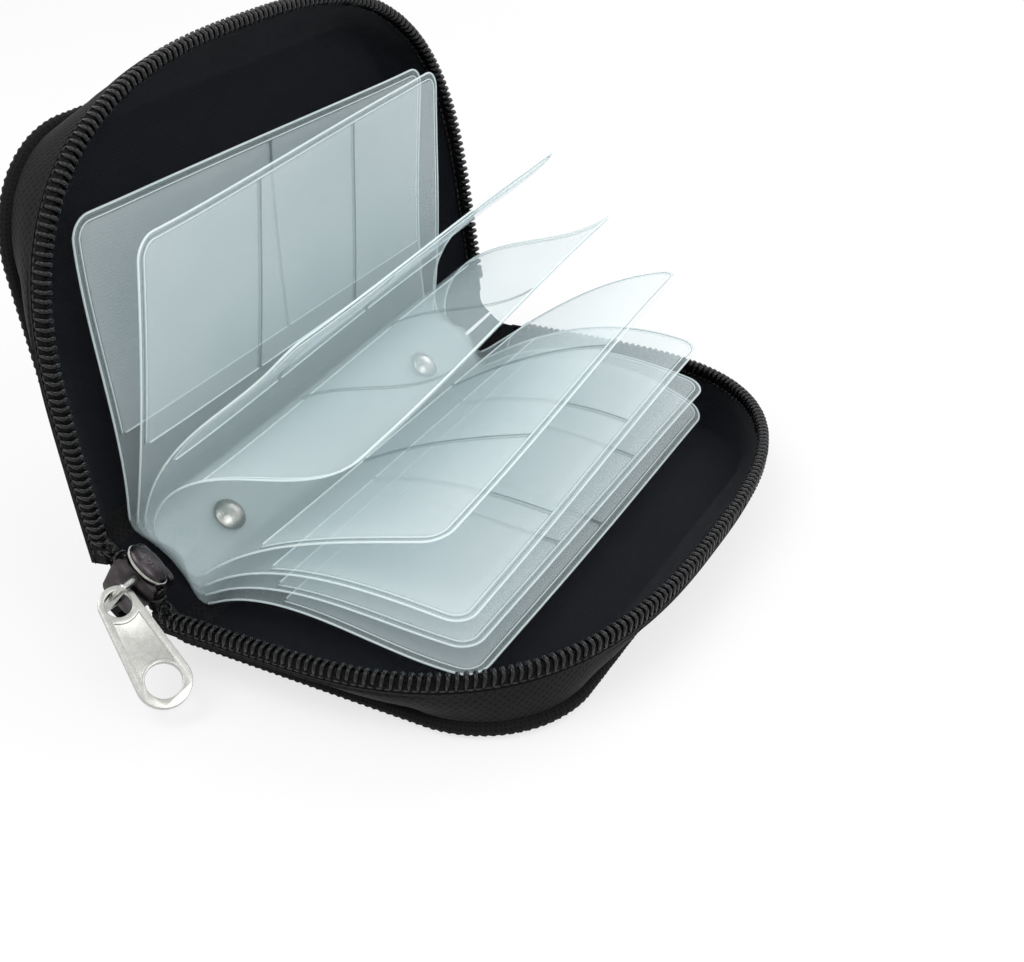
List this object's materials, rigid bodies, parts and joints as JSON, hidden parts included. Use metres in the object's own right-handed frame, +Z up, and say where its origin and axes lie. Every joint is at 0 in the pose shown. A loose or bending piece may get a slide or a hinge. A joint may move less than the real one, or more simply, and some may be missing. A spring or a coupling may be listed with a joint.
{
  "type": "memory card case",
  "caption": "Soft zip-round case that stands open, with a riveted booklet of clear pocket pages for memory cards, corded piping and a zip pull",
  "frame": {"origin": "centre of the flat underside of the back half, on the surface it rests on", "axes": "+Z up, +Y along the spine, +X from the spine to the free edge of the back half"},
  "size_m": [0.1048, 0.1408, 0.0916],
  "materials": {
    "shell_cloth": "matte woven",
    "piping_cloth": "matte woven",
    "lining_cloth": "brushed knit",
    "stiffener_board": "pressed board",
    "zip_tape": "knitted tape",
    "zip_coil": "moulded nylon",
    "slider_metal": "dark nickel",
    "pull_metal": "bright nickel",
    "rivet_metal": "bright nickel",
    "page_film": "frosted clear film"
  },
  "bodies": {
    "back_half": {"back_cloth": "shell_cloth", "back_board": "stiffener_board", "back_lining": "lining_cloth", "back_piping": "piping_cloth", "back_gusset": "shell_cloth", "back_zip_tape": "zip_tape", "back_zip_coil": "zip_coil", "back_hinge_fold": "shell_cloth", "back_top_stop": "slider_metal"},
    "front_half": {"front_cloth": "shell_cloth", "front_board": "stiffener_board", "front_lining": "lining_cloth", "front_piping": "piping_cloth", "front_gusset": "shell_cloth", "front_zip_tape": "zip_tape", "front_zip_coil": "zip_coil", "front_hinge_fold": "shell_cloth", "front_top_stop": "slider_metal"},
    "spine": {"spine_cloth": "shell_cloth", "spine_board": "stiffener_board", "spine_lining": "lining_cloth", "spine_end_webs": "lining_cloth", "zip_end_tab": "zip_tape", "zip_bottom_stop": "slider_metal", "sheet_fold_1": "page_film", "sheet_fold_2": "page_film", "sheet_fold_3": "page_film", "sheet_fold_4": "page_film", "rivet_caps": "rivet_metal", "rivet_shanks": "rivet_metal", "rivet_washers": "rivet_metal"},
    "slider": {"slider_body": "slider_metal", "slider_bridge": "pull_metal"},
    "pull": {"pull_tab": "pull_metal"},
    "page_1": {"page_1_film": "page_film", "page_1_pockets": "page_film"},
    "page_2": {"page_2_film": "page_film", "page_2_pockets": "page_film"},
    "page_3": {"page_3_film": "page_film", "page_3_pockets": "page_film"},
    "page_4": {"page_4_film": "page_film", "page_4_pockets": "page_film"},
    "page_5": {"page_5_film": "page_film", "page_5_pockets": "page_film"},
    "page_6": {"page_6_film": "page_film", "page_6_pockets": "page_film"},
    "page_7": {"page_7_film": "page_film", "page_7_pockets": "page_film"},
    "page_8": {"page_8_film": "page_film", "page_8_pockets": "page_film"}
  },
  "joints": [
    {"name": "spine_fold", "type": "hinge", "parent": "back_half", "child": "spine", "pos_m": [-0.034, 0, 0.0015], "axis": [0, -1, 0], "range_deg": [-48.5, 40]},
    {"name": "cover_fold", "type": "hinge", "parent": "spine", "child": "front_half", "pos_m": [-0.05085, 0, 0.01564], "axis": [0, -1, 0], "range_deg": [-48.5, 40]},
    {"name": "page_1_turn", "type": "hinge", "parent": "spine", "child": "page_1", "pos_m": [-0.04727, 0, 0.01532], "axis": [0, -1, 0], "range_deg": [-44.1, 36.37]},
    {"name": "page_2_turn", "type": "hinge", "parent": "spine", "child": "page_2", "pos_m": [-0.04569, 0, 0.01503], "axis": [0, -1, 0], "range_deg": [-33.5, 27.63]},
    {"name": "page_3_turn", "type": "hinge", "parent": "spine", "child": "page_3", "pos_m": [-0.0441, 0, 0.01474], "axis": [0, -1, 0], "range_deg": [-7.8, 6.43]},
    {"name": "page_4_turn", "type": "hinge", "parent": "spine", "child": "page_4", "pos_m": [-0.04251, 0, 0.01445], "axis": [0, -1, 0], "range_deg": [-11.3, 13.7]},
    {"name": "page_5_turn", "type": "hinge", "parent": "spine", "child": "page_5", "pos_m": [-0.03662, 0, 0.0095], "axis": [0, -1, 0], "range_deg": [-17.07, 20.7]},
    {"name": "page_6_turn", "type": "hinge", "parent": "spine", "child": "page_6", "pos_m": [-0.03606, 0, 0.00799], "axis": [0, -1, 0], "range_deg": [-28.95, 35.1]},
    {"name": "page_7_turn", "type": "hinge", "parent": "spine", "child": "page_7", "pos_m": [-0.0355, 0, 0.00648], "axis": [0, -1, 0], "range_deg": [-33.24, 40.3]},
    {"name": "page_8_turn", "type": "hinge", "parent": "spine", "child": "page_8", "pos_m": [-0.03494, 0, 0.00497], "axis": [0, -1, 0], "range_deg": [-37.11, 45]},
    {"name": "slider_travel", "type": "slide", "parent": "spine", "child": "slider", "axis": [0.6428, 0, 0.766], "range_m": [0, 0.016]},
    {"name": "pull_swing", "type": "hinge", "parent": "slider", "child": "pull", "pos_m": [-0.03587, -0.06848, 0.01638], "axis": [-0.6428, 0, -0.766], "range_deg": [-6, 150]}
  ],
  "couplings": [
    {"joint": "cover_fold", "follows": "spine_fold", "ratio": 1},
    {"joint": "page_1_turn", "follows": "spine_fold", "ratio": 0.9093},
    {"joint": "page_2_turn", "follows": "spine_fold", "ratio": 0.6907},
    {"joint": "page_3_turn", "follows": "spine_fold", "ratio": 0.1608},
    {"joint": "page_4_turn", "follows": "spine_fold", "ratio": -0.2825},
    {"joint": "page_5_turn", "follows": "spine_fold", "ratio": -0.4268},
    {"joint": "page_6_turn", "follows": "spine_fold", "ratio": -0.7237},
    {"joint": "page_7_turn", "follows": "spine_fold", "ratio": -0.8309},
    {"joint": "page_8_turn", "follows": "spine_fold", "ratio": -0.9278}
  ]
}
